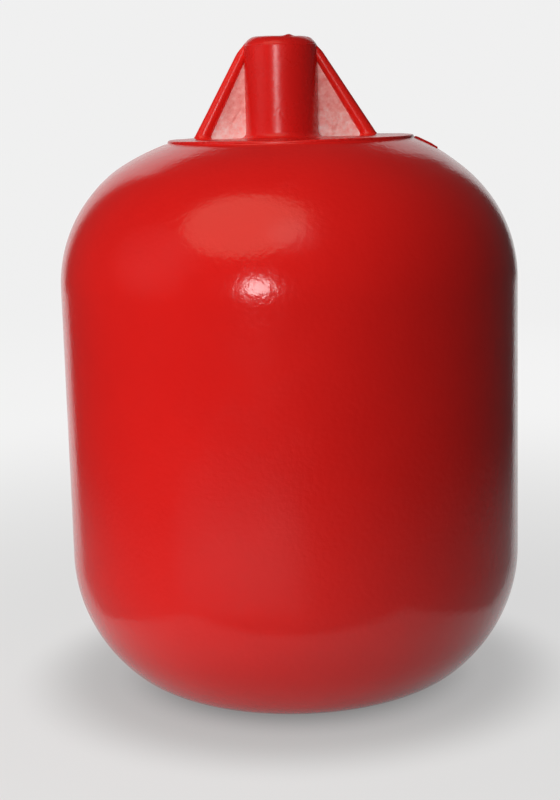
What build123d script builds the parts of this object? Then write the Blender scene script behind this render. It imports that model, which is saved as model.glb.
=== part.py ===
from build123d import *

import os
from math import cos, radians, sin

# Cylindrical float: a hollow moulded shell, a tube right through it for the rope, and a head with
# a short neck that two round ribs brace, each with a thin web. Millimetres, +Z up. The origin is
# the middle of the flat foot, on the ground, and the ribs lie in the XZ plane.

# Shell
body_diameter = 300.0
deck_height = 362.0  # ground to the top face of the head plate
wall = 4.0
foot_radius = 78.0  # where the flat foot turns up into the lower shoulder

# Each shoulder is a wide bend at the wall and a second bend that reaches the foot or the head
lower_bend_radius = 100.0
lower_bend_sweep = 48.0
upper_bend_radius = 92.0
upper_bend_sweep = 52.0
deck_break = 19.0  # angle at which the upper shoulder meets the head plate

# Head plate, let into the top of the shell
plate_radius = 80.0
plate_thickness = 6.0
plate_proud = 2.4  # how far its rim stands above the shoulder
plate_edge_round = 1.0
plate_gap = 0.2

# Neck
neck_diameter = 47.2
neck_rim_height = 59.0  # plate to the edge where the domed lip starts
lip_rise = 6.5
lip_bulge = 1.5
neck_root_fillet = 3.4

# Ribs, tapered round bars from the plate up over the neck's rim, and the webs behind them
rib_foot_reach = 54.5  # axis of the float to the bar's axis, at the plate
rib_foot_diameter = 9.6
rib_top_diameter = 6.8
rib_top_drop = 4.6  # neck's rim down to where the bar's axis meets the neck's wall
rib_end_rise = 1.6  # neck's rim up to where the bar is cut off on the lip
rib_foot_flare = 2.5
rib_flare_sink = 0.4  # how far below the plate's face the flare would run out
web_thickness = 2.4

# Tube
tube_diameter = 25.0
tube_wall = 2.5
tube_gap = 0.1
tube_sink = 2.0  # below the top of the neck's lip
tube_end_round = 0.8

# Base collar and vent plug, side by side in a recess that keeps them off the ground
collar_radius = 30.0
collar_thickness = 5.0
collar_chamfer = 1.5
plug_head_diameter = 13.0
plug_head_thickness = 3.0
plug_shank_diameter = 8.0
plug_slot_width = 1.6
plug_slot_depth = 1.4
plug_edge_chamfer = 0.5
plug_gap = 0.1
recess_margin = 3.5  # between collar, plug head and recess wall
recess_round = 2.5
ground_clearance = 3.0  # under the collar and the tube

# Places and sizes that follow from these
body_radius = body_diameter / 2
shoulder_top = deck_height - plate_proud
plate_bottom = deck_height - plate_thickness
neck_radius = neck_diameter / 2
neck_base = deck_height + neck_root_fillet
neck_rim = deck_height + neck_rim_height
lip_top = neck_rim + lip_rise
tube_radius = tube_diameter / 2
bore_radius = tube_radius - tube_wall
tube_hole_radius = tube_radius + tube_gap
tube_top = lip_top - tube_sink
neck_middle = (neck_radius + tube_hole_radius) / 2  # halfway through the neck's wall
recess_radius = collar_radius + plug_head_diameter + 2 * recess_margin
recess_height = ground_clearance + collar_thickness
plug_reach = collar_radius + recess_margin + plug_head_diameter / 2  # towards +Y

# The second bend's radius is what carries the first one on to the foot or to the head plate
lower_turn_sweep = 90.0 - lower_bend_sweep
lower_turn_radius = (
    body_radius - foot_radius - lower_bend_radius * (1 - cos(radians(lower_bend_sweep)))
) / cos(radians(lower_bend_sweep))
upper_turn_sweep = 90.0 - deck_break - upper_bend_sweep
upper_turn_radius = (
    body_radius - plate_radius - upper_bend_radius * (1 - cos(radians(upper_bend_sweep)))
) / (cos(radians(upper_bend_sweep)) - sin(radians(deck_break)))

lower_shoulder_height = lower_bend_radius * sin(radians(lower_bend_sweep)) + lower_turn_radius * (
    1 - sin(radians(lower_bend_sweep))
)
upper_shoulder_height = upper_bend_radius * sin(radians(upper_bend_sweep)) + upper_turn_radius * (
    cos(radians(deck_break)) - sin(radians(upper_bend_sweep))
)
straight_wall = shoulder_top - upper_shoulder_height - lower_shoulder_height


def half_body(inset):
    """Half section of the shell from the foot round to the deck, inset from the outer surface."""
    foot = Line((0, inset), (foot_radius, inset))
    lower_turn = JernArc(foot @ 1, foot % 1, lower_turn_radius - inset, lower_turn_sweep)
    lower_bend = JernArc(lower_turn @ 1, lower_turn % 1, lower_bend_radius - inset, lower_bend_sweep)
    side = Line(lower_bend @ 1, (lower_bend @ 1) + (0, straight_wall))
    upper_bend = JernArc(side @ 1, side % 1, upper_bend_radius - inset, upper_bend_sweep)
    upper_turn = JernArc(upper_bend @ 1, upper_bend % 1, upper_turn_radius - inset, upper_turn_sweep)
    deck = Line(upper_turn @ 1, (0, (upper_turn @ 1).Y))
    Line(deck @ 1, foot @ 0)


def band(inner, outer, bottom, top, mode=Mode.ADD):
    """A rectangle of the half section, given by its radii and heights."""
    with Locations(((inner + outer) / 2, (bottom + top) / 2)):
        Rectangle(outer - inner, top - bottom, mode=mode)


# Shell: constant wall, a seat for the head plate, a base recess and a hole for the tube
with BuildPart() as float_shell:
    with BuildSketch(Plane.XZ):
        with BuildLine():
            half_body(0)
        make_face()
        with BuildLine():
            half_body(wall)
        make_face(mode=Mode.SUBTRACT)
        band(0, plate_radius, plate_bottom - wall, plate_bottom)
        band(0, plate_radius + plate_gap, plate_bottom, deck_height, mode=Mode.SUBTRACT)
        band(0, recess_radius + wall, 0, recess_height + wall)
        band(0, recess_radius, 0, recess_height, mode=Mode.SUBTRACT)
        band(0, tube_hole_radius, 0, deck_height, mode=Mode.SUBTRACT)
    revolve(axis=Axis.Z)
    recess_edges = float_shell.edges().filter_by(GeomType.CIRCLE).filter_by(
        lambda e: abs(e.radius - recess_radius) < 0.01
    )
    fillet(recess_edges, recess_round)
    with Locations((0, plug_reach, recess_height)):
        Cylinder(
            plug_shank_diameter / 2 + plug_gap,
            wall,
            align=(Align.CENTER, Align.CENTER, Align.MIN),
            mode=Mode.SUBTRACT,
        )

# Head plate: a disc whose middle rises by a fillet to carry the neck
with BuildPart() as head_plate:
    with BuildSketch(Plane.XZ):
        with BuildLine():
            underside = Line((tube_hole_radius, plate_bottom), (plate_radius, plate_bottom))
            rim = Line(underside @ 1, (plate_radius, deck_height))
            top_face = Line(rim @ 1, (neck_radius + neck_root_fillet, deck_height))
            root = RadiusArc(top_face @ 1, (neck_radius, neck_base), neck_root_fillet)
            seat = Line(root @ 1, (tube_hole_radius, neck_base))
            Line(seat @ 1, underside @ 0)
        make_face()
    revolve(axis=Axis.Z)
    fillet(
        head_plate.edges()
        .filter_by(GeomType.CIRCLE)
        .filter_by(lambda e: abs(e.radius - plate_radius) < 0.01)
        .sort_by(Axis.Z)[-1],
        plate_edge_round,
    )

# Neck: a thick sleeve with a domed lip
with BuildPart() as neck:
    with BuildSketch(Plane.XZ):
        with BuildLine():
            bottom = Line((tube_hole_radius, neck_base), (neck_radius, neck_base))
            outside = Line(bottom @ 1, (neck_radius, neck_rim))
            lip = SagittaArc(outside @ 1, (tube_hole_radius, lip_top), -lip_bulge)
            Line(lip @ 1, bottom @ 0)
        make_face()
    revolve(axis=Axis.Z)

# Tube: right through the float, open at both ends
with BuildPart() as centre_tube:
    with BuildSketch(Plane.XY.offset(ground_clearance)):
        Circle(tube_radius)
        Circle(bore_radius, mode=Mode.SUBTRACT)
    extrude(amount=tube_top - ground_clearance)
    fillet(
        centre_tube.edges().filter_by(GeomType.CIRCLE).group_by(Axis.Z)[-1],
        tube_end_round,
    )

# Base collar: a flange that holds the tube's lower end against the recessed floor
with BuildPart() as base_collar:
    with BuildSketch(Plane.XY.offset(ground_clearance)):
        Circle(collar_radius)
        Circle(tube_hole_radius, mode=Mode.SUBTRACT)
    extrude(amount=collar_thickness)
    chamfer(
        base_collar.edges()
        .filter_by(GeomType.CIRCLE)
        .filter_by(lambda e: abs(e.radius - collar_radius) < 0.01)
        .sort_by(Axis.Z)[0],
        collar_chamfer,
    )

# Vent plug: a slotted head below the recessed floor and a shank through it
with BuildPart() as vent_plug:
    with BuildSketch(Plane((0, plug_reach, recess_height - plug_head_thickness))):
        Circle(plug_head_diameter / 2)
    extrude(amount=plug_head_thickness)
    chamfer(
        vent_plug.edges().filter_by(GeomType.CIRCLE).sort_by(Axis.Z)[0],
        plug_edge_chamfer,
    )
    with BuildSketch(Plane((0, plug_reach, recess_height))):
        Circle(plug_shank_diameter / 2)
    extrude(amount=wall)
    with Locations((0, plug_reach, recess_height - plug_head_thickness)):
        Box(
            plug_head_diameter,
            plug_slot_width,
            plug_slot_depth,
            align=(Align.CENTER, Align.CENTER, Align.MIN),
            mode=Mode.SUBTRACT,
        )

pieces = {
    "float_shell": float_shell,
    "head_plate": head_plate,
    "neck": neck,
    "centre_tube": centre_tube,
    "base_collar": base_collar,
    "vent_plug": vent_plug,
}

# Ribs and webs, one of each on either side of the neck
rib_top = neck_rim - rib_top_drop
rib_axis = Vector(neck_radius - rib_foot_reach, 0, rib_top - deck_height)  # from foot to neck
rib_taper = (rib_foot_diameter - rib_top_diameter) / 2 / rib_axis.length  # radius lost per length
rib_overrun = (neck_radius - neck_middle) / abs(rib_axis.normalized().X)  # into the neck's wall

for side_name, side in (("left", -1), ("right", 1)):
    foot = Vector(side * rib_foot_reach, 0, deck_height)
    along = Vector(side * rib_axis.X, 0, rib_axis.Z).normalized()
    start = foot - along * rib_overrun
    bar_length = rib_axis.length + 2 * rib_overrun
    start_radius = rib_foot_diameter / 2 + rib_taper * rib_overrun
    slab_top = deck_height - rib_flare_sink

    # The bar flares into a slab just under the plate's face, and is then cut at that face
    with BuildPart() as rib:
        with Locations(Plane(start, z_dir=along)):
            Cone(
                start_radius,
                start_radius - rib_taper * bar_length,
                bar_length,
                align=(Align.CENTER, Align.CENTER, Align.MIN),
            )
        with Locations((foot.X, 0, slab_top)):
            Box(
                plate_radius,
                plate_radius,
                2 * rib_overrun,
                align=(Align.CENTER, Align.CENTER, Align.MAX),
            )
        flare_edge = rib.edges().filter_by(GeomType.LINE, reverse=True).filter_by_position(
            Axis.Z, slab_top - 0.01, slab_top + 0.01
        )
        fillet(flare_edge, rib_foot_flare)
        split(bisect_by=Plane.XY.offset(deck_height), keep=Keep.TOP)
        split(bisect_by=Plane.XY.offset(neck_rim + rib_end_rise), keep=Keep.BOTTOM)
        add(neck.part, mode=Mode.SUBTRACT)

    # The web fills the corner between neck, rib and plate
    with BuildPart() as web:
        with BuildSketch(Plane.XZ):
            with BuildLine():
                Polyline(
                    (side * neck_middle, deck_height),
                    (foot.X, deck_height),
                    (side * neck_radius, rib_top),
                    (side * neck_middle, rib_top),
                    close=True,
                )
            make_face()
        extrude(amount=web_thickness / 2, both=True)
        for neighbour in (head_plate, neck, rib):
            add(neighbour.part, mode=Mode.SUBTRACT)

    pieces[f"{side_name}_rib"] = rib
    pieces[f"{side_name}_web"] = web

os.makedirs("parts", exist_ok=True)
for name, piece in pieces.items():
    piece.part.label = name
    export_step(piece.part, f"parts/{name}.step")
    print(name, round(piece.part.volume), "mm3")
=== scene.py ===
"""Cylindrical float: looks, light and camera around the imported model. Metres, +Z up."""

import math

import bmesh
import bpy
import numpy as np
from mathutils import Matrix, Vector, noise


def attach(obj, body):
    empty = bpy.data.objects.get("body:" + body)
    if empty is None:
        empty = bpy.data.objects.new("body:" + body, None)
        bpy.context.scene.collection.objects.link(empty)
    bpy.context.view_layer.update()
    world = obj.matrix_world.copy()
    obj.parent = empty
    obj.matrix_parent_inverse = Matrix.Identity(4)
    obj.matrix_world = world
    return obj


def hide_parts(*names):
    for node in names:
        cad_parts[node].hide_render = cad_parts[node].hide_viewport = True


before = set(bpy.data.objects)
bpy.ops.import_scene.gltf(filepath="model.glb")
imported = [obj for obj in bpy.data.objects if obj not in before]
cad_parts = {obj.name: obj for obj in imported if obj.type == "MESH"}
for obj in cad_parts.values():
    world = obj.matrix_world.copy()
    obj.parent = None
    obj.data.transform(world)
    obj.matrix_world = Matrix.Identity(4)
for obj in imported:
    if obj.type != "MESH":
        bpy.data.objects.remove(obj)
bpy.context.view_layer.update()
scene = bpy.context.scene
scene.view_settings.view_transform = "Standard"

MM = 0.001
PHOTO_LONG_SIDE = 800  # pixels

# Camera, fitted to the float's outline in the photograph
CAMERA_DISTANCE = 1095.2 * MM  # from the float's axis
CAMERA_HEIGHT = 388.0 * MM
CAMERA_PITCH = math.radians(10.35)  # downwards
CAMERA_YAW = math.radians(0.425)  # to the left
CAMERA_ROLL = math.radians(-1.5)
CAMERA_FOCAL_PX = 1661.6
SENSOR = 36.0

# The paper under and behind the float, the dark cards and the room
PAPER_GLOW = 0.86  # share of the paper's white that doesn't depend on the lamps
PAPER_BOUNCE = 0.5  # how much of the light on it the paper throws back on the float
# distance from the middle of the foot in metres, and how white the paper is there
# the grey close to the foot is a painted contact shadow, not the paper's colour
PAPER_TONES_WITH_PAINTED_SHADOW = (0.07, 0.20), (0.13, 0.50), (0.20, 0.78), (1.0, 1.0)
CARD_TONES = (0.24, 0.34), (0.9, 0.07)  # the same for the dark cards
CARD_R = 2.6  # metres from the float to the cards round it
CARD_FRONT, CARD_SIDE = -0.24, 0.22  # where the cards on the floor start, in metres
CARD_GAP = 33.0, 26.0  # how far the cards open behind the float, left and right, in degrees
ROOM_LIGHT = 0.04  # the world's light on the float
SEEING_RAYS = "Is Camera Ray", "Is Glossy Ray", "Is Transmission Ray"

# Sizes of the CAD model, in millimetres
BODY_R = 150.0
FOOT_R = 78.0
LOWER_BEND_R, LOWER_SWEEP = 100.0, 48.0
UPPER_BEND_R, UPPER_SWEEP = 92.0, 52.0
DECK_BREAK = 19.0
DECK_Z = 362.0
PLATE_R, PLATE_THICKNESS, PLATE_PROUD, PLATE_ROUND = 80.0, 6.0, 2.4, 1.0
NECK_R, NECK_RIM_Z, LIP_TOP_Z, NECK_ROOT = 23.6, 421.0, 427.5, 3.4
HOLE_R = 12.6
RIB_FOOT_X, RIB_FOOT_R, RIB_TOP_R, RIB_TOP_Z = 54.5, 4.8, 3.4, 416.4
RIB_END_Z = 422.6
WEB_HALF = 1.2
RECESS_R, RECESS_Z, RECESS_ROUND = 50.0, 8.0, 2.5

# Where the photographed head sits off the axis: the neck and the ribs' tops to the left, and the
# rim of the plate to the right
NECK_SHIFT, RIB_TOP_SHIFT, RIM_SHIFT = -2.1, -2.5, 3.2
SKIN = 0.3  # how far the moulded skin lies inside the CAD wall, which leaves room for its waves


def cosd(a):
    return math.cos(math.radians(a))


def sind(a):
    return math.sin(math.radians(a))


def wave(x, y, z, size, seed=0.0):
    """Smooth noise from about -1 to 1, with bumps of the given size."""
    return noise.noise(Vector((x / size + seed, y / size - seed, z / size + 2 * seed)))


def rim_shift(r):
    """How far the plate's rim and the shoulder round it lie to the right."""
    return RIM_SHIFT * ease(r, 112.0, 82.0) * ease(r, 45.0, 75.0)


def neck_shift(r):
    """How far the neck and its root lie to the left; the bore stays on the axis."""
    return NECK_SHIFT * ease(r, HOLE_R + 0.5, HOLE_R + 5.5)


def rib_shift(z):
    """How far a rib lies to the left at this height: not at all at the plate."""
    return RIB_TOP_SHIFT * max(0.0, z - DECK_Z) / (RIB_TOP_Z - DECK_Z)


def ease(value, low, high):
    """0 at low, 1 at high, and straight between."""
    return max(0.0, min(1.0, (value - low) / (high - low)))


def make_piece(name, verts, faces, material, nodes=(), crease=40):
    mesh = bpy.data.meshes.new(name)
    mesh.from_pydata([(x * MM, y * MM, z * MM) for x, y, z in verts], [], faces)
    bm = bmesh.new()
    bm.from_mesh(mesh)
    bmesh.ops.remove_doubles(bm, verts=bm.verts, dist=1e-7)
    bmesh.ops.recalc_face_normals(bm, faces=bm.faces)
    bm.to_mesh(mesh)
    bm.free()
    mesh.shade_smooth()
    mesh.set_sharp_from_angle(angle=math.radians(crease))
    mesh.materials.append(material)
    obj = bpy.data.objects.new(name, mesh)
    scene.collection.objects.link(obj)
    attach(obj, "root")
    if nodes:
        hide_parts(*nodes)
    return obj


def arc(centre_r, centre_z, radius, start, end, step):
    """Points of a section's arc with their outward angle, both ends included."""
    count = max(2, int(abs(end - start) / step) + 1)
    return [
        (centre_r + radius * cosd(a), centre_z + radius * sind(a), a)
        for a in np.linspace(start, end, count)
    ]


def lathe(section, angles, shift):
    """Turns a closed section of (r, z) points round the axis.

    shift gives each point's place from its row, r, z and the angle.
    """
    verts, faces = [], []
    rows, turns = len(section), len(angles)
    for t in angles:
        for j, (r, z) in enumerate(section):
            verts.append(shift(j, r, z, t))
    for i in range(turns):
        k = (i + 1) % turns
        for j in range(rows):
            n = (j + 1) % rows
            faces.append((i * rows + j, k * rows + j, k * rows + n, i * rows + n))
    return verts, faces


# ---------------------------------------------------------------- materials


def new_material(name):
    mat = bpy.data.materials.new(name)
    mat.use_nodes = True
    tree = mat.node_tree
    return mat, tree, tree.nodes["Principled BSDF"]


def noise_node(tree, coords, scale, detail, roughness=0.5):
    node = tree.nodes.new("ShaderNodeTexNoise")
    node.inputs["Scale"].default_value = scale
    node.inputs["Detail"].default_value = detail
    node.inputs["Roughness"].default_value = roughness
    tree.links.new(coords, node.inputs["Vector"])
    return node.outputs["Fac"]


def ramp_node(tree, value, stops, interpolation="LINEAR"):
    node = tree.nodes.new("ShaderNodeValToRGB")
    ramp = node.color_ramp
    ramp.interpolation = interpolation
    while len(ramp.elements) < len(stops):
        ramp.elements.new(0.5)
    for element, (at, color) in zip(ramp.elements, stops):
        element.position = at
        element.color = (*color, 1)
    tree.links.new(value, node.inputs["Fac"])
    return node.outputs["Color"]


def range_node(tree, value, low, high):
    node = tree.nodes.new("ShaderNodeMapRange")
    node.inputs["From Min"].default_value = 0.3
    node.inputs["From Max"].default_value = 0.7
    node.inputs["To Min"].default_value = low
    node.inputs["To Max"].default_value = high
    tree.links.new(value, node.inputs["Value"])
    return node.outputs["Result"]


def bump_node(tree, height, strength, distance):
    node = tree.nodes.new("ShaderNodeBump")
    node.inputs["Strength"].default_value = strength
    node.inputs["Distance"].default_value = distance
    tree.links.new(height, node.inputs["Height"])
    return node.outputs["Normal"]


BUMP = 0.6  # strength of every bump


def plastic(name, low, high, rough, grain_scale, grain_depth):
    """Moulded plastic: slightly uneven colour and gloss, and a fine orange peel.

    The colour lies between low and high. grain_scale and grain_depth are the peel's.
    """
    mat, tree, shader = new_material(name)
    coords = tree.nodes.new("ShaderNodeTexCoord").outputs["Object"]
    cloud = noise_node(tree, coords, 14.0, 3.0)
    tree.links.new(ramp_node(tree, cloud, [(0.3, low), (0.7, high)]), shader.inputs["Base Color"])
    scuff = noise_node(tree, coords, 60.0, 6.0, 0.65)
    tree.links.new(range_node(tree, scuff, rough - 0.03, rough + 0.03), shader.inputs["Roughness"])
    peel = noise_node(tree, coords, grain_scale, 2.0)
    tree.links.new(bump_node(tree, peel, BUMP, grain_depth), shader.inputs["Normal"])
    shader.inputs["IOR"].default_value = 1.5
    shader.inputs["Specular IOR Level"].default_value = 0.4
    return mat


SHELL_RED = plastic(
    "shell_red", (0.67, 0.0092, 0.0072), (0.71, 0.0108, 0.0084), 0.17, 300.0, 0.00026
)
HEAD_RED = plastic(
    "head_red", (0.67, 0.0092, 0.0075), (0.72, 0.0110, 0.0090), 0.27, 400.0, 0.00014
)
# painted light: the ribs are the head's plastic, coloured lighter and more orange for the light
# they catch
RIB_RED_PAINTED_LIGHT = plastic(
    "rib_red_painted_light", (0.80, 0.0150, 0.0105), (0.86, 0.0190, 0.0130), 0.27, 400.0, 0.00014
)
TUBE_RED = plastic(
    "tube_red", (0.50, 0.0060, 0.0050), (0.56, 0.0080, 0.0060), 0.38, 600.0, 0.00003
)


def make_web_material():
    """Thin stretched plastic, hazy; its pink, far paler than the red plastic and paler still
    towards the plate, is painted light.
    """
    mat, tree, shader = new_material("web_haze_painted_light")
    coords = tree.nodes.new("ShaderNodeTexCoord").outputs["Object"]
    haze = noise_node(tree, coords, 260.0, 8.0, 0.7)
    place = tree.nodes.new("ShaderNodeSeparateXYZ")
    tree.links.new(coords, place.inputs["Vector"])
    # painted light: the colour grows paler towards the plate
    low = tree.nodes.new("ShaderNodeMapRange")
    low.inputs["From Min"].default_value = (DECK_Z + 22) * MM
    low.inputs["From Max"].default_value = DECK_Z * MM
    low.inputs["To Min"].default_value = -0.08
    low.inputs["To Max"].default_value = 0.16
    tree.links.new(place.outputs["Z"], low.inputs["Value"])
    total = tree.nodes.new("ShaderNodeMath")
    tree.links.new(haze, total.inputs[0])
    tree.links.new(low.outputs["Result"], total.inputs[1])
    # painted light: pinks far paler than the red plastic stand in for light on the thin sheets
    stops = [(0.30, (0.84, 0.24, 0.22)), (0.5, (0.94, 0.42, 0.40)), (0.75, (0.98, 0.76, 0.76))]
    tree.links.new(ramp_node(tree, total.outputs[0], stops), shader.inputs["Base Color"])
    shader.inputs["Roughness"].default_value = 0.45
    crinkle = noise_node(tree, coords, 420.0, 5.0, 0.6)
    tree.links.new(bump_node(tree, crinkle, BUMP, 0.0003), shader.inputs["Normal"])
    shader.inputs["IOR"].default_value = 1.45
    return mat


WEB_PINK_PAINTED_LIGHT = make_web_material()


# ---------------------------------------------------------------- float shell


def shell_section():
    """The shell's outer skin from the foot to the plate, as (r, z, outward angle)."""
    lower_turn = (BODY_R - FOOT_R - LOWER_BEND_R * (1 - cosd(LOWER_SWEEP))) / cosd(LOWER_SWEEP)
    upper_turn = (BODY_R - PLATE_R - UPPER_BEND_R * (1 - cosd(UPPER_SWEEP))) / (
        cosd(UPPER_SWEEP) - sind(DECK_BREAK)
    )
    skin = arc(FOOT_R, lower_turn, lower_turn, -90, -LOWER_SWEEP, 2.0)
    bend_z = skin[-1][1] + LOWER_BEND_R * sind(LOWER_SWEEP)
    skin += arc(BODY_R - LOWER_BEND_R, bend_z, LOWER_BEND_R, -LOWER_SWEEP, 0, 1.5)[1:]
    shoulder_z = DECK_Z - PLATE_PROUD
    rise = UPPER_BEND_R * sind(UPPER_SWEEP) + upper_turn * (cosd(DECK_BREAK) - sind(UPPER_SWEEP))
    wall_top = shoulder_z - rise
    skin += [(BODY_R, z, 0.0) for z in np.linspace(bend_z, wall_top, 36)[1:]]
    skin += arc(BODY_R - UPPER_BEND_R, wall_top, UPPER_BEND_R, 0, UPPER_SWEEP, 1.5)[1:]
    r, z, _ = skin[-1]
    turn_r, turn_z = r - upper_turn * cosd(UPPER_SWEEP), z - upper_turn * sind(UPPER_SWEEP)
    skin += arc(turn_r, turn_z, upper_turn, UPPER_SWEEP, 90 - DECK_BREAK, 1.0)[1:]
    return skin


SKIN_ROWS = shell_section()


def seam_angles(count, extra):
    """Angles round the axis, with closer ones either side of the parting plane."""
    angles = set(np.round(np.arange(count) * 2 * math.pi / count, 6))
    for a in extra:
        for centre in (0.0, math.pi):
            for s in (-1, 1):
                angles.add(round((centre + s * a) % (2 * math.pi), 6))
    return sorted(angles)


def make_shell():
    fillet = 1.2  # soft corner between the shoulder and the plate's rim
    slope = 90 - DECK_BREAK
    outer = [(r, z, a) for r, z, a in SKIN_ROWS if r > PLATE_R + fillet * 1.2 or z < DECK_Z / 2]
    reach = fillet * math.tan(math.radians(slope / 2))
    foot_r = PLATE_R + reach * cosd(DECK_BREAK)
    foot_z = DECK_Z - PLATE_PROUD - reach * sind(DECK_BREAK)
    middle_r, middle_z = foot_r + fillet * sind(DECK_BREAK), foot_z + fillet * cosd(DECK_BREAK)
    corner = [
        (middle_r + fillet * cosd(a), middle_z + fillet * sind(a))
        for a in np.linspace(270 - DECK_BREAK, 180, 8)
    ]
    outer_count = len(outer)
    section = [(r, z) for r, z, _ in outer] + corner
    seat_r, seat_z = PLATE_R + 0.2, DECK_Z - PLATE_THICKNESS
    section += [(seat_r, DECK_Z - PLATE_PROUD - 0.4), (seat_r, seat_z)]
    section += [(40.0, seat_z), (HOLE_R, seat_z)]
    section += [(HOLE_R, RECESS_Z), (30.0, RECESS_Z)]
    roof_r, roof_z = RECESS_R - RECESS_ROUND, RECESS_Z - RECESS_ROUND
    section += [
        (roof_r + RECESS_ROUND * sind(a), roof_z + RECESS_ROUND * cosd(a))
        for a in np.linspace(0, 90, 6)
    ]
    section += [
        (RECESS_R + RECESS_ROUND - RECESS_ROUND * cosd(a), RECESS_ROUND - RECESS_ROUND * sind(a))
        for a in np.linspace(0, 90, 6)
    ]
    section += [(60.0, 0.0), (69.0, 0.0)]

    def shift(j, r, z, t):
        if 0 < j < outer_count:
            a = outer[j][2]
            x, y = r * math.cos(t), r * math.sin(t)
            waves = 0.10 * wave(x, y, z, 70.0, 3.1) + 0.035 * wave(x, y, z, 21.0, 7.7)
            ridge = 0.2 * math.exp(-((y / 0.45) ** 2))  # the parting line, at y = 0
            fade = min(1.0, j / 4, (outer_count - 1 - j) / 6 + 0.3)
            d = (waves - SKIN) * fade + ridge
            r, z = r + d * cosd(a), z + d * sind(a)
        aside = rim_shift(r) if z > DECK_Z / 2 else 0.0
        return r * math.cos(t) + aside, r * math.sin(t), max(z, 0.0)

    angles = seam_angles(240, [0.0018, 0.0036, 0.006, 0.010, 0.016])
    verts, faces = lathe(section, angles, shift)
    make_piece("shell_skin", verts, faces, SHELL_RED, ["float_shell"])


# ---------------------------------------------------------------- head


def make_plate():
    section = [(HOLE_R, DECK_Z - PLATE_THICKNESS), (40.0, DECK_Z - PLATE_THICKNESS)]
    section += [(PLATE_R, DECK_Z - PLATE_THICKNESS)]
    edge_r, edge_z = PLATE_R - PLATE_ROUND, DECK_Z - PLATE_ROUND
    section += [
        (edge_r + PLATE_ROUND * cosd(a), edge_z + PLATE_ROUND * sind(a))
        for a in np.linspace(0, 90, 8)
    ]
    section += [(r, DECK_Z) for r in np.linspace(PLATE_R - 4, NECK_R + NECK_ROOT + 2, 18)]
    section += [
        (NECK_R + NECK_ROOT - NECK_ROOT * sind(a), DECK_Z + NECK_ROOT - NECK_ROOT * cosd(a))
        for a in np.linspace(0, 90, 9)
    ]
    section += [(HOLE_R, DECK_Z + NECK_ROOT)]

    def shift(j, r, z, t):
        x, y = r * math.cos(t), r * math.sin(t)
        if NECK_R + NECK_ROOT < r and z > DECK_Z - PLATE_THICKNESS + 0.5:
            sag = 0.25 + 0.25 * wave(x, y, 0.0, 30.0, 1.3) + 0.12 * wave(x, y, 0.0, 9.0, 4.2)
            z -= max(0.0, sag) * min(1.0, (r - NECK_R - NECK_ROOT) / 8)
            if r > PLATE_R - 1.5:
                r -= 0.12 + 0.12 * wave(x, y, 0.0, 12.0, 9.1)
        aside = rim_shift(r) + neck_shift(r) * ease(r, 40.0, NECK_R + NECK_ROOT)
        return r * math.cos(t) + aside, r * math.sin(t), z

    angles = list(np.arange(240) * 2 * math.pi / 240)
    verts, faces = lathe(section, angles, shift)
    make_piece("head_plate_skin", verts, faces, HEAD_RED, ["head_plate"])


def crease_depth(x, z, lines):
    """Depth of a set of straight creases, each (x0, z0, x1, z1, half width, depth)."""
    depth = 0.0
    for x0, z0, x1, z1, half, deep in lines:
        along = Vector((x1 - x0, z1 - z0))
        u = max(0.0, min(1.0, Vector((x - x0, z - z0)).dot(along) / along.length_squared))
        gap = Vector((x - x0, z - z0)) - along * u
        depth += deep * math.exp(-((gap.length / half) ** 2)) * (1 - 0.5 * u)
    return depth


NECK_WRINKLE = [
    (-2.2, 380.0, -5.2, 374.5, 0.8, 0.10),
    (-0.6, 377.5, 2.4, 372.5, 0.8, 0.09),
    (3.6, 384.0, 4.4, 379.0, 0.7, 0.06),
]


# What the knife left on the lip, each (x, y, size, height)
LIP_BURRS = (4.2, -13.5, 2.6, 1.1), (18.3, -6.0, 1.6, 0.8), (20.0, 1.0, 1.5, 0.9)


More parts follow.
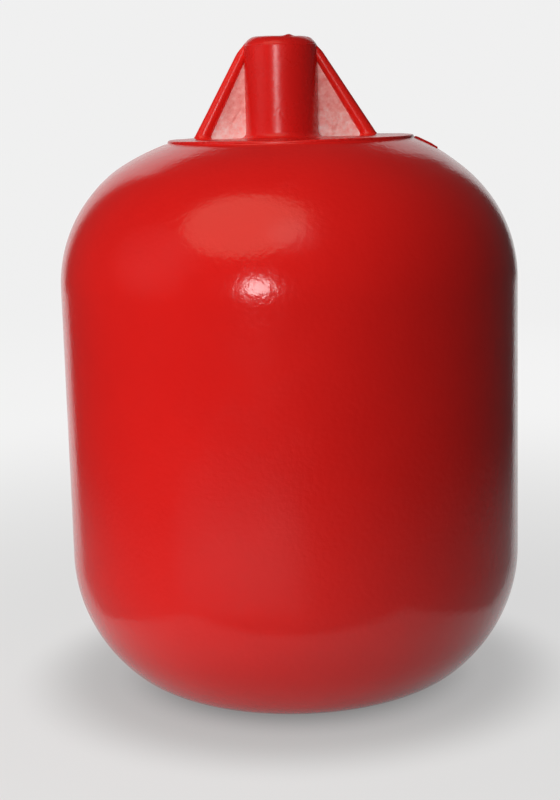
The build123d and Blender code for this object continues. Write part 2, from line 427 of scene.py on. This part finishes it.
def make_neck():
    base = DECK_Z + NECK_ROOT
    heights = [base + 2, base + 5] + list(np.arange(base + 7, base + 19, 0.45))
    heights += list(np.linspace(base + 19.5, NECK_RIM_Z - 2, 24))
    section = [(HOLE_R, base), (NECK_R, base)] + [(NECK_R, z) for z in heights]
    # a small bead at the rim, a step in, then the domed lip
    section += [(NECK_R, NECK_RIM_Z - 1.0), (NECK_R - 0.05, NECK_RIM_Z - 0.5)]
    section += [(NECK_R - 0.3, NECK_RIM_Z - 0.15), (NECK_R - 0.55, NECK_RIM_Z)]
    lip = [(NECK_R - 0.6, NECK_RIM_Z + 0.35)]
    for u in np.linspace(0.06, 1, 16):
        r = NECK_R - 0.6 + (HOLE_R + 0.8 - NECK_R + 0.6) * u
        z = NECK_RIM_Z + 0.35 + (LIP_TOP_Z - 0.9 - NECK_RIM_Z - 0.35) * u
        bulge = 4 * 1.75 * u * (1 - u)
        lip.append((r + bulge * 0.53, z + bulge * 0.85))
    section += lip + [(HOLE_R + 0.2, LIP_TOP_Z - 1.2), (HOLE_R, LIP_TOP_Z - 2.0)]

    def shift(j, r, z, t):
        x, y = r * math.cos(t), r * math.sin(t)
        if r > NECK_R - 0.01 and z > base + 1:
            r -= 0.08 + 0.06 * wave(x, y, z, 16.0, 2.2)
            if y < 0:
                r -= crease_depth(x, z, NECK_WRINKLE)
        if z > NECK_RIM_Z and r > HOLE_R + 0.1:
            up = (z - NECK_RIM_Z) / (LIP_TOP_Z - NECK_RIM_Z)
            z -= up * (0.5 + 0.5 * x / NECK_R) * 1.3  # the hand-cut top leans to the right
            z += up * 0.25 * wave(x, y, 0.0, 5.0, 6.0)
            for bx, by, size, tall in LIP_BURRS:
                z += tall * math.exp(-(((x - bx) ** 2 + (y - by) ** 2) / size**2)) * up
        return r * math.cos(t) + neck_shift(r), r * math.sin(t), min(z, LIP_TOP_Z)

    angles = set(np.round(np.arange(120) * 2 * math.pi / 120, 6))
    for s in np.arange(-8, 5, 0.45):
        angles.add(round((1.5 * math.pi + s / NECK_R) % (2 * math.pi), 6))
    verts, faces = lathe(section, sorted(angles), shift)
    make_piece("neck_skin", verts, faces, HEAD_RED, ["neck"])


def make_rib(side, label):
    """A tapered round bar, flared at the plate and cut off on the lip, lower further out."""
    foot = Vector((side * RIB_FOOT_X, 0, DECK_Z))
    top = Vector((side * NECK_R, 0, RIB_TOP_Z))
    along = (top - foot).normalized()
    across = Vector((0, 1, 0))
    out = along.cross(across)
    length = (top - foot).length
    rows, turns = 60, 40
    start, end = -1.5, length + 9.0
    verts, faces = [], []
    for i in range(rows + 1):
        s = start + (end - start) * i / rows
        radius = RIB_FOOT_R + (RIB_TOP_R - RIB_FOOT_R) * s / length
        for k in range(turns):
            a = 2 * math.pi * k / turns
            p = foot + along * s
            d = out * math.cos(a) + across * math.sin(a)
            rr = radius + 0.12 * wave(p.x, a * 3, p.z, 14.0, 5.0 + side) - 0.06
            q = p + d * rr
            low = max(0.0, 1 - (q.z - DECK_Z) / 2.2)
            q += Vector((d.x, d.y, 0)) * (1.3 * low**2.2)
            end_z = RIB_END_Z - 1.1 * max(0.0, abs(q.x) - NECK_R + 2.0)
            q.z = min(max(q.z, DECK_Z - 1.0), end_z + 0.2 * wave(q.x, q.y, 0, 2.5, 8.0))
            verts.append((q.x + rib_shift(q.z), q.y, q.z))
    for i in range(rows):
        for k in range(turns):
            n = (k + 1) % turns
            faces.append((i * turns + k, i * turns + n, (i + 1) * turns + n, (i + 1) * turns + k))
    faces.append(tuple(range(turns)))
    faces.append(tuple(rows * turns + k for k in range(turns)))
    make_piece(f"{label}_rib_bar", verts, faces, RIB_RED_PAINTED_LIGHT, [f"{label}_rib"])


WEB_CREASES = {
    "left": [(-33.0, 371.0, -27.6, 379.0, 0.7, 0.5), (-36.0, 372.0, -29.0, 366.0, 0.6, 0.3)],
    "right": [(31.8, 363.0, 31.8, 374.0, 0.6, -0.45), (34.5, 366.0, 36.5, 373.0, 0.6, 0.35)],
}


def make_web(side, label):
    """A thin creased sheet between neck, rib and plate, its edges let into all three."""
    cols, rows = 48, 72
    bottom, top = DECK_Z - 0.6, RIB_TOP_Z - 3.0

    def edge(z):
        u = (z - DECK_Z) / (RIB_TOP_Z - DECK_Z)
        return RIB_FOOT_X + (NECK_R - RIB_FOOT_X) * u

    verts, faces = [], []
    for face in (-1, 1):
        for i in range(rows + 1):
            z = bottom + (top - bottom) * i / rows
            inner, outer = NECK_R - 1.0, max(edge(z), NECK_R - 0.9)
            for j in range(cols + 1):
                x = side * (inner + (outer - inner) * j / cols)
                rim = min(j, cols - j, i) / 6
                half = 0.55 + 0.45 * math.exp(-rim)
                dent = 0.22 * wave(x, 0, z, 6.0, 3.0 + side) + 0.12 * wave(x, 0, z, 2.2, 9.0 + side)
                dent += crease_depth(x, z, WEB_CREASES[label])
                dent *= min(1.0, rim)
                y = face * half + dent
                x += NECK_SHIFT + (rib_shift(z) - NECK_SHIFT) * j / cols
                verts.append((x, max(-WEB_HALF, min(WEB_HALF, y)), z))
    count = (rows + 1) * (cols + 1)

    def at(f, i, j):
        return f * count + i * (cols + 1) + j

    for f in (0, 1):
        for i in range(rows):
            for j in range(cols):
                faces.append((at(f, i, j), at(f, i, j + 1), at(f, i + 1, j + 1), at(f, i + 1, j)))
    for i in range(rows):
        for j in (0, cols):
            faces.append((at(0, i, j), at(0, i + 1, j), at(1, i + 1, j), at(1, i, j)))
    for j in range(cols):
        for i in (0, rows):
            faces.append((at(0, i, j), at(0, i, j + 1), at(1, i, j + 1), at(1, i, j)))
    make_piece(f"{label}_web_sheet", verts, faces, WEB_PINK_PAINTED_LIGHT, [f"{label}_web"])


def make_flash():
    """The trimmed strip of flash that stands on the parting line of the right shoulder."""
    shoulder = [row for row in SKIN_ROWS if row[1] > DECK_Z / 2]
    rows = [row for row in shoulder if PLATE_R - 0.5 <= row[0] <= 99.0][::-1]
    path = []
    for (r0, z0, a0), (r1, z1, a1) in zip(rows, rows[1:]):
        for u in np.arange(0, 1, 0.34):
            path.append((r0 + (r1 - r0) * u, z0 + (z1 - z0) * u, a0 + (a1 - a0) * u))
    path.append(rows[-1])
    profile = [(-0.75, -0.9), (-0.7, 0.35), (-0.45, 0.8), (-0.15, 1.0)]
    profile += [(-y, h) for y, h in reversed(profile)]
    verts, faces = [], []
    count = len(profile)
    for n, (r, z, a) in enumerate(path):
        end = min(1.0, (n + 0.6) / 2.0, (len(path) - 1 - n + 0.5) / 1.5)
        tall = (1.35 + 0.35 * wave(r, z, 0, 5.0, 2.0) - 0.35 * n / len(path)) * end
        for y, h in profile:
            lift = h * tall if h > 0 else h
            x = r + lift * cosd(a) + rim_shift(r)
            verts.append((x, y * (0.8 + 0.2 * end), z + lift * sind(a)))
    for n in range(len(path) - 1):
        for k in range(count):
            m = (k + 1) % count
            faces.append((n * count + k, n * count + m, (n + 1) * count + m, (n + 1) * count + k))
    faces.append(tuple(range(count)))
    faces.append(tuple((len(path) - 1) * count + k for k in range(count)))
    make_piece("shoulder_flash", verts, faces, SHELL_RED)


make_shell()
make_plate()
make_neck()
for side, label in ((-1, "left"), (1, "right")):
    make_rib(side, label)
    make_web(side, label)
make_flash()

for node in ("centre_tube", "base_collar", "vent_plug"):
    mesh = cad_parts[node].data
    mesh.materials.clear()
    mesh.materials.append(TUBE_RED)


# ---------------------------------------------------------------- camera, floor and light


def make_camera():
    data = bpy.data.cameras.new("camera")
    data.sensor_width = SENSOR
    data.lens = CAMERA_FOCAL_PX * SENSOR / PHOTO_LONG_SIDE
    camera = bpy.data.objects.new("camera", data)
    scene.collection.objects.link(camera)
    turn = (
        Matrix.Rotation(CAMERA_YAW, 4, "Z")
        @ Matrix.Rotation(math.pi / 2 - CAMERA_PITCH, 4, "X")
        @ Matrix.Rotation(CAMERA_ROLL, 4, "Z")
    )
    camera.matrix_world = Matrix.Translation((0, -CAMERA_DISTANCE, CAMERA_HEIGHT)) @ turn
    scene.camera = camera


def ray_mask(tree, *kinds):
    """1 for rays of any of these kinds, else 0."""
    path = tree.nodes.new("ShaderNodeLightPath")
    value = path.outputs[kinds[0]]
    for kind in kinds[1:]:
        node = tree.nodes.new("ShaderNodeMath")
        node.operation = "MAXIMUM"
        tree.links.new(value, node.inputs[0])
        tree.links.new(path.outputs[kind], node.inputs[1])
        value = node.outputs[0]
    return value


def tone_by_distance(tree, stops):
    """Grey tones that change smoothly with the distance from the origin, up to two metres."""
    away = tree.nodes.new("ShaderNodeVectorMath")
    away.operation = "LENGTH"
    tree.links.new(tree.nodes.new("ShaderNodeTexCoord").outputs["Object"], away.inputs[0])
    half = tree.nodes.new("ShaderNodeMath")
    half.operation = "MULTIPLY"
    half.inputs[1].default_value = 0.5
    tree.links.new(away.outputs["Value"], half.inputs[0])
    greys = [(distance / 2, (tone, tone, tone)) for distance, tone in stops]
    return ramp_node(tree, half.outputs[0], greys, "EASE")


def make_stage(name, verts, faces, material):
    mesh = bpy.data.meshes.new(name)
    mesh.from_pydata(verts, [], faces)
    mesh.materials.append(material)
    obj = bpy.data.objects.new(name, mesh)
    scene.collection.objects.link(obj)
    return obj


def make_floor():
    """A wide sweep of white paper: flat under the float and curved up far behind it."""
    front, bend_y, bend_r, top, half = -3.0, 2.2, 0.8, 2.6, 3.5
    line = [(y, 0.0) for y in np.linspace(front, bend_y, 12)]
    line += [(bend_y + bend_r * sind(a), bend_r - bend_r * cosd(a)) for a in np.linspace(6, 90, 15)]
    line.append((bend_y + bend_r, top))
    verts = []
    for y, z in line:
        verts += [(-half, y, z), (half, y, z)]
    faces = [(2 * i, 2 * i + 1, 2 * i + 3, 2 * i + 2) for i in range(len(line) - 1)]
    mat, tree, lit = new_material("floor_paper")
    lit.inputs["Base Color"].default_value = (0.8, 0.8, 0.8, 1)
    lit.inputs["Roughness"].default_value = 0.9
    lit.inputs["Specular IOR Level"].default_value = 0.1
    shade = tree.nodes.new("ShaderNodeBsdfDiffuse")
    shade.inputs["Color"].default_value = (*[PAPER_BOUNCE] * 3, 1)
    # camera, reflections and glass see the same paper: white far off, and a painted shadow, grey,
    # close to the foot
    glow = tree.nodes.new("ShaderNodeEmission")
    tree.links.new(tone_by_distance(tree, PAPER_TONES_WITH_PAINTED_SHADOW), glow.inputs["Color"])
    seen = tree.nodes.new("ShaderNodeMixShader")
    seen.inputs["Fac"].default_value = PAPER_GLOW
    tree.links.new(lit.outputs["BSDF"], seen.inputs[1])
    tree.links.new(glow.outputs["Emission"], seen.inputs[2])
    both = tree.nodes.new("ShaderNodeMixShader")
    tree.links.new(ray_mask(tree, *SEEING_RAYS), both.inputs["Fac"])
    tree.links.new(shade.outputs["BSDF"], both.inputs[1])
    tree.links.new(seen.outputs["Shader"], both.inputs[2])
    tree.links.new(both.outputs["Shader"], tree.nodes["Material Output"].inputs["Surface"])
    floor = make_stage("floor", verts, faces, mat)
    floor.data.shade_smooth()


def make_cards():
    """Dark cards, as a studio has them, that keep white out of the reflections.

    They stand round the float in front and at the sides, over it, and on the floor just outside
    the picture. Only reflections show them, and they block no light.
    """
    verts, faces = [], []

    def sheet(rows):
        start, wide = len(verts), len(rows[0])
        for row in rows:
            verts.extend(row)
        for i in range(len(rows) - 1):
            for j in range(wide - 1):
                k = start + i * wide + j
                faces.append((k, k + 1, k + 1 + wide, k + wide))

    def dome(elevation, azimuths):
        flat, up = CARD_R * cosd(elevation), CARD_R * sind(elevation)
        return [(flat * sind(a), -flat * cosd(a), up) for a in azimuths]

    left, right = CARD_GAP
    gap_top = 42  # degrees up, where the cards close over the gap
    walls = np.linspace(left - 180, 180 - right, 49)
    sheet([dome(e, walls) for e in np.linspace(0, gap_top, 8)])
    sheet([dome(e, np.linspace(-180, 180, 61)) for e in np.linspace(gap_top, 89, 8)])
    low = 0.001  # just above the paper
    sheet([[(x, y, low) for x in (-CARD_R, CARD_R)] for y in (-CARD_R, CARD_FRONT)])
    for side, gap in ((-1, left), (1, right)):
        rows = []
        for y in (CARD_FRONT, 0.0, 0.6, 1.2, 1.8, 2.4):
            inner = CARD_SIDE + max(0.0, y) * math.tan(math.radians(gap))
            rows.append([(side * inner, y, low), (side * CARD_R, y, low)])
        sheet(rows)
    mat, tree, _ = new_material("card_black")
    glow = tree.nodes.new("ShaderNodeEmission")
    tree.links.new(tone_by_distance(tree, CARD_TONES), glow.inputs["Color"])
    tree.links.new(glow.outputs["Emission"], tree.nodes["Material Output"].inputs["Surface"])
    cards = make_stage("dark_cards", verts, faces, mat)
    cards.visible_camera = cards.visible_diffuse = cards.visible_shadow = False
    cards.visible_transmission = cards.visible_volume_scatter = False


def make_world():
    world = bpy.data.worlds.new("world")
    world.use_nodes = True
    tree = world.node_tree
    room = tree.nodes["Background"]
    room.inputs["Color"].default_value = (1, 1, 1, 1)
    room.inputs["Strength"].default_value = ROOM_LIGHT
    white = tree.nodes.new("ShaderNodeBackground")
    white.inputs["Color"].default_value = (1, 1, 1, 1)
    mix = tree.nodes.new("ShaderNodeMixShader")
    tree.links.new(ray_mask(tree, *SEEING_RAYS), mix.inputs["Fac"])
    tree.links.new(room.outputs["Background"], mix.inputs[1])
    tree.links.new(white.outputs["Background"], mix.inputs[2])
    tree.links.new(mix.outputs["Shader"], tree.nodes["World Output"].inputs["Surface"])
    scene.world = world


WHITE, WARM = (1.0, 1.0, 1.0), (1.0, 0.88, 0.66)
LAMP_TARGET = Vector((0, 0, 0.22))

# Azimuth in degrees from the camera's side (negative is left), distance from the axis, height,
# width and height of the lamp in metres, brightness, colour, and whether the plastic mirrors it
LAMPS = {
    "key_left": (-70, 1.00, 0.62, 0.80, 0.80, 2.4, WHITE, False),
    "head_fill": (2, 0.30, 0.50, 0.10, 0.12, 6.0, WHITE, False),
    "low_front": (-24, 0.46, 0.03, 0.50, 0.10, 3.6, WHITE, False),
    "fill_right": (90, 1.30, 0.40, 0.60, 0.60, 0.02, WHITE, False),
    "back_fill": (165, 1.40, 0.90, 1.00, 1.00, 1.3, WHITE, False),
    "overhead_softbox": (-30, 0.764, 1.28, 1.20, 1.15, 1.45, WARM, True),
    "front_softbox": (-14.6, 1.27, 0.452, 0.27, 0.24, 19.5, WHITE, True),
}


def make_lamp(name, azimuth, distance, height, wide, tall, brightness, color, mirrored):
    data = bpy.data.lights.new(name, "AREA")
    data.shape = "ELLIPSE"
    data.size, data.size_y = wide, tall
    data.color = color
    data.energy = math.pi**2 / 4 * wide * tall * brightness  # watts that give this brightness
    lamp = bpy.data.objects.new(name, data)
    lamp.location = (distance * sind(azimuth), -distance * cosd(azimuth), height)
    aim = LAMP_TARGET - lamp.location
    lamp.rotation_euler = aim.to_track_quat("-Z", "Y").to_euler()
    lamp.visible_camera = False
    lamp.visible_glossy = mirrored
    scene.collection.objects.link(lamp)


make_camera()
make_floor()
make_cards()
make_world()
for name, values in LAMPS.items():
    make_lamp(name, *values)
